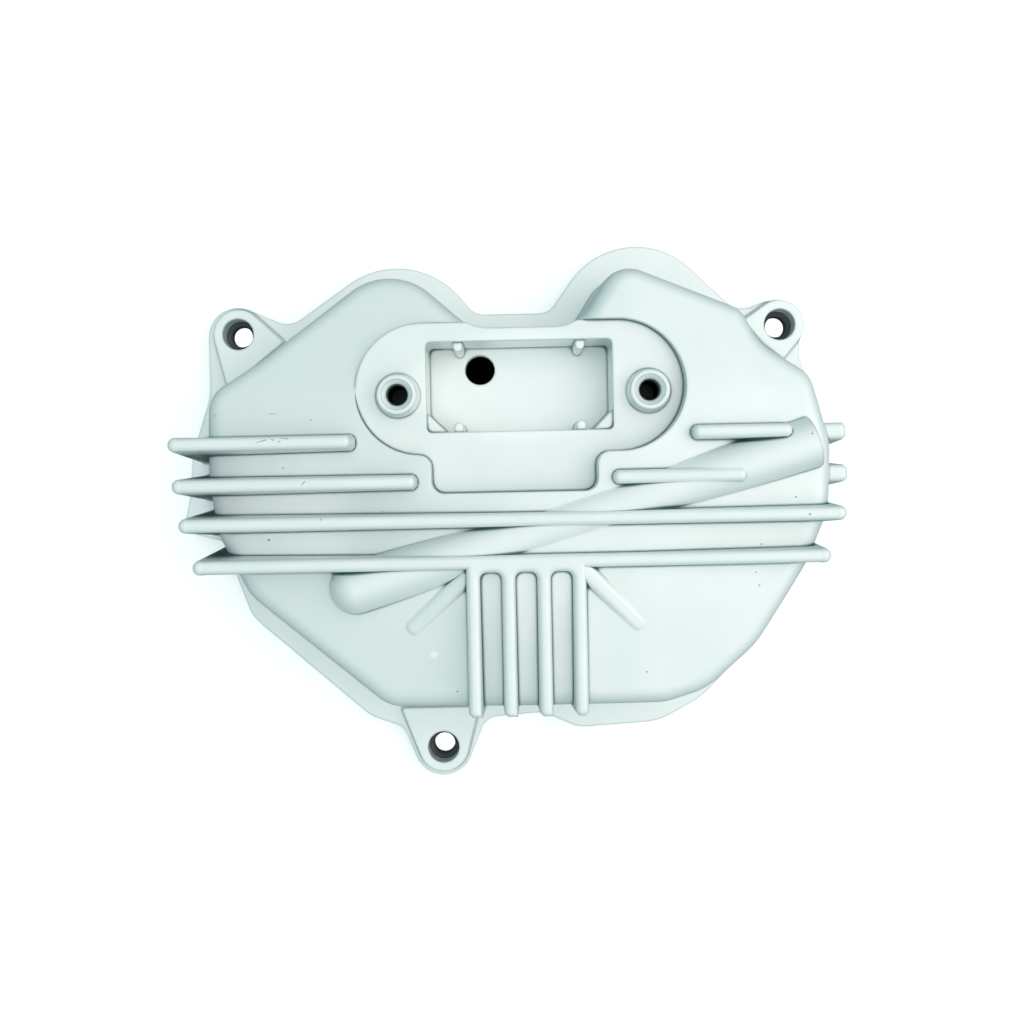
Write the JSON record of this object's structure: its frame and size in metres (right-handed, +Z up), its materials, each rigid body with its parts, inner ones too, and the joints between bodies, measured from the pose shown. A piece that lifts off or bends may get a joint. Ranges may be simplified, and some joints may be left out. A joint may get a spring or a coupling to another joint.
{
  "type": "engine valve cover",
  "caption": "Cast aluminium engine valve cover with cooling fins, a diagonal oil gallery, fixing lugs and a recessed breather pocket with an open chamber.",
  "frame": {"origin": "middle of the footprint, on the gasket face", "axes": "+X along the cooling fins towards the gallery's open end, +Y across them from the lower lug towards the breather pocket, +Z up out of the gasket face"},
  "size_m": [0.2194, 0.1794, 0.0502],
  "materials": {
    "casting": "as-cast aluminium, pale satin silver"
  },
  "bodies": {
    "root": {"valve_cover": "casting"}
  },
  "joints": []
}
